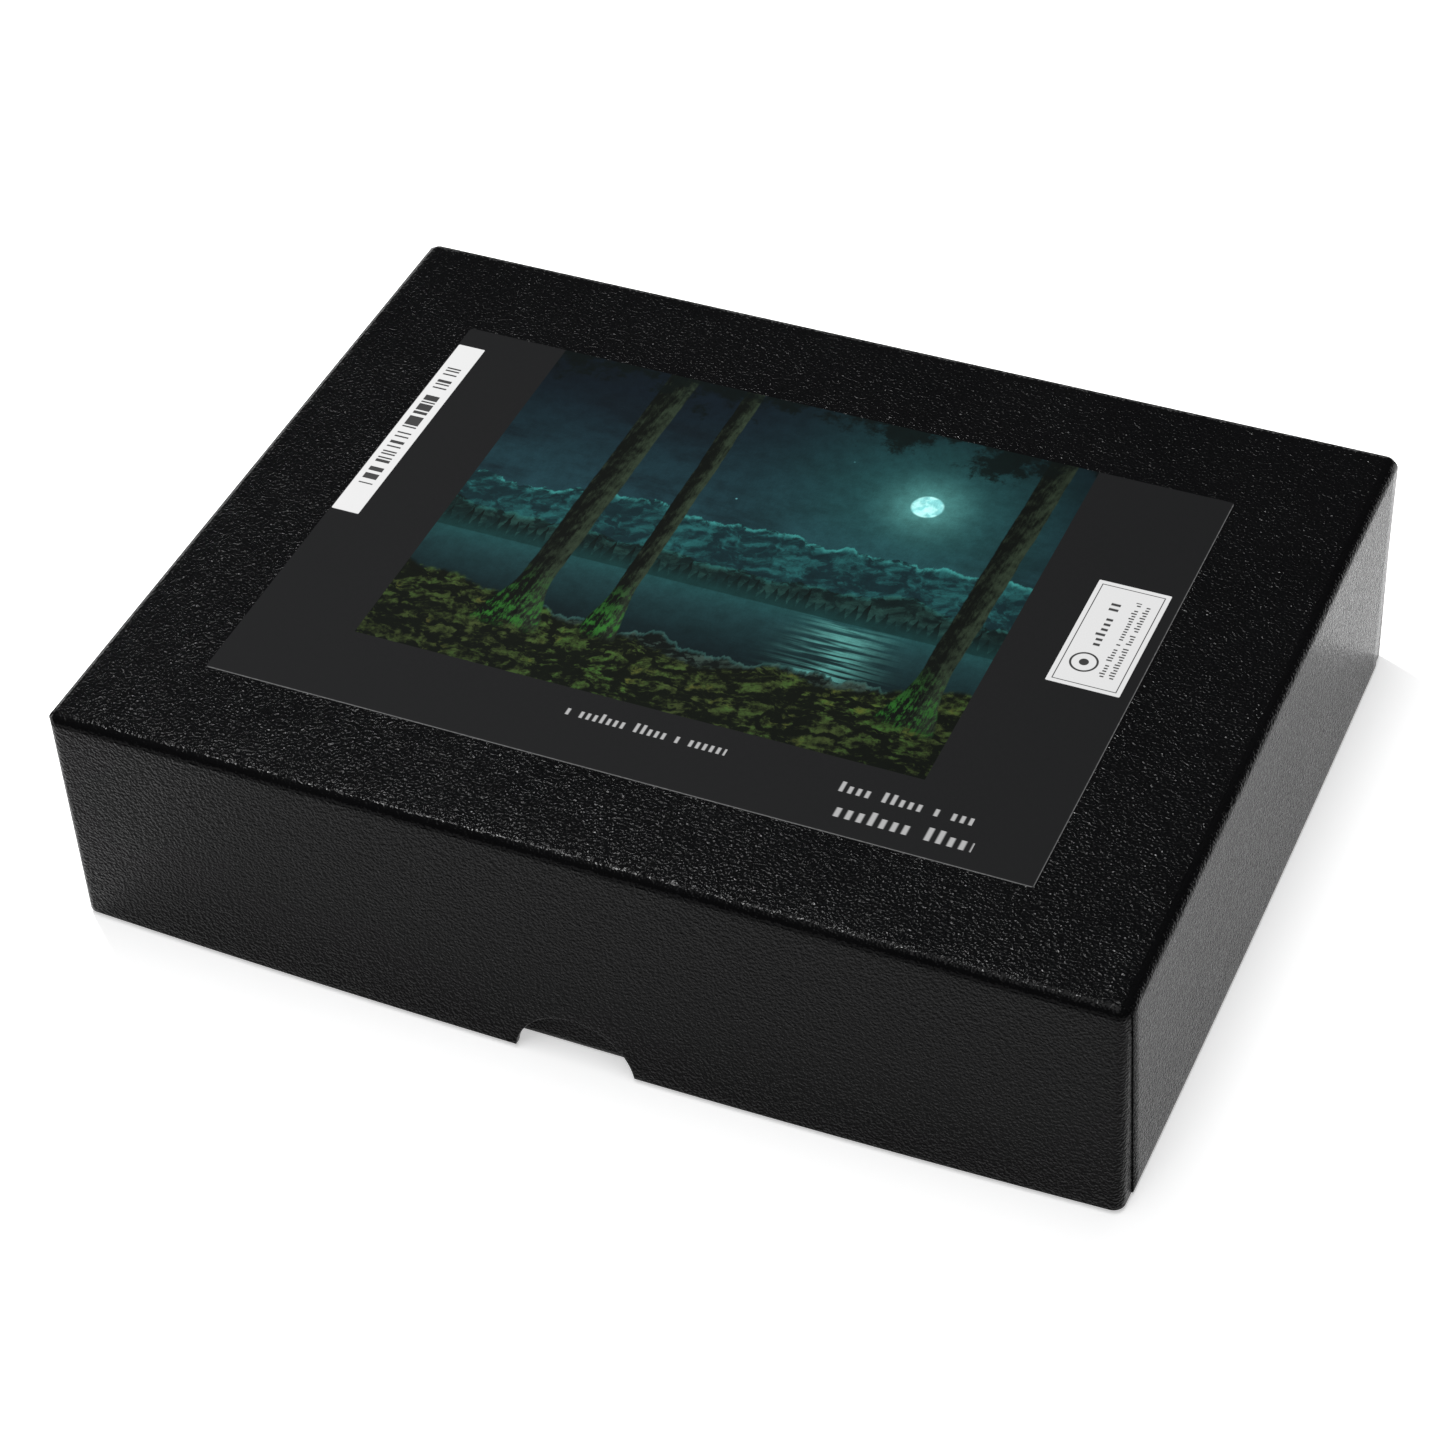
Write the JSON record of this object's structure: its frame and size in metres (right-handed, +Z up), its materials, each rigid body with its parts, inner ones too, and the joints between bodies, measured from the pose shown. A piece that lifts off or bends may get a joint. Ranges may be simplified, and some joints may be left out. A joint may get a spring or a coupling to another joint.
{
  "type": "boxed jigsaw puzzle",
  "caption": "Boxed jigsaw puzzle: full-depth lift-off lid with thumb notches over a wrapped chipboard tray, holding a sealed bag of loose interlocking pieces.",
  "frame": {"origin": "middle of the underside, on the surface that the box stands on", "axes": "+X along the box's length to the right of the front wall, +Y from the front wall to the back wall, +Z up, the way the lid lifts"},
  "size_m": [0.25, 0.19, 0.0615],
  "materials": {
    "greyboard": "raw chipboard, matte",
    "kraft_tape": "kraft paper tape, matte",
    "black_leatherette": "leather-grained black paper, satin with a pebbled gloss",
    "white_lining": "uncoated white paper",
    "label_print": "printed label, linen-textured matte",
    "white_sticker": "white paper sticker, matte",
    "clear_film": "clear polythene film",
    "puzzle_board": "printed chipboard, satin face and grey back"
  },
  "bodies": {
    "tray": {"base_board": "greyboard", "base_corner_stays": "kraft_tape", "base_wrap": "black_leatherette", "base_lining": "white_lining"},
    "lid": {"lid_board": "greyboard", "lid_corner_stays": "kraft_tape", "lid_wrap": "black_leatherette", "lid_lining": "white_lining", "lid_label": "label_print", "barcode_sticker": "white_sticker", "notice_sticker": "white_sticker"},
    "contents": {"piece_bag": "clear_film", "corner_pieces": "puzzle_board", "edge_pieces": "puzzle_board", "inner_pieces_0_knobs": "puzzle_board", "inner_pieces_1_knob": "puzzle_board", "inner_pieces_2_knobs": "puzzle_board", "inner_pieces_3_knobs": "puzzle_board", "inner_pieces_4_knobs": "puzzle_board"}
  },
  "joints": [
    {"name": "lid_lift", "type": "slide", "parent": "tray", "child": "lid", "axis": [0, 0, 1], "range_m": [0, 0.15]},
    {"name": "contents_lift", "type": "slide", "parent": "tray", "child": "contents", "axis": [0, 0, 1], "range_m": [0, 0.015]}
  ]
}
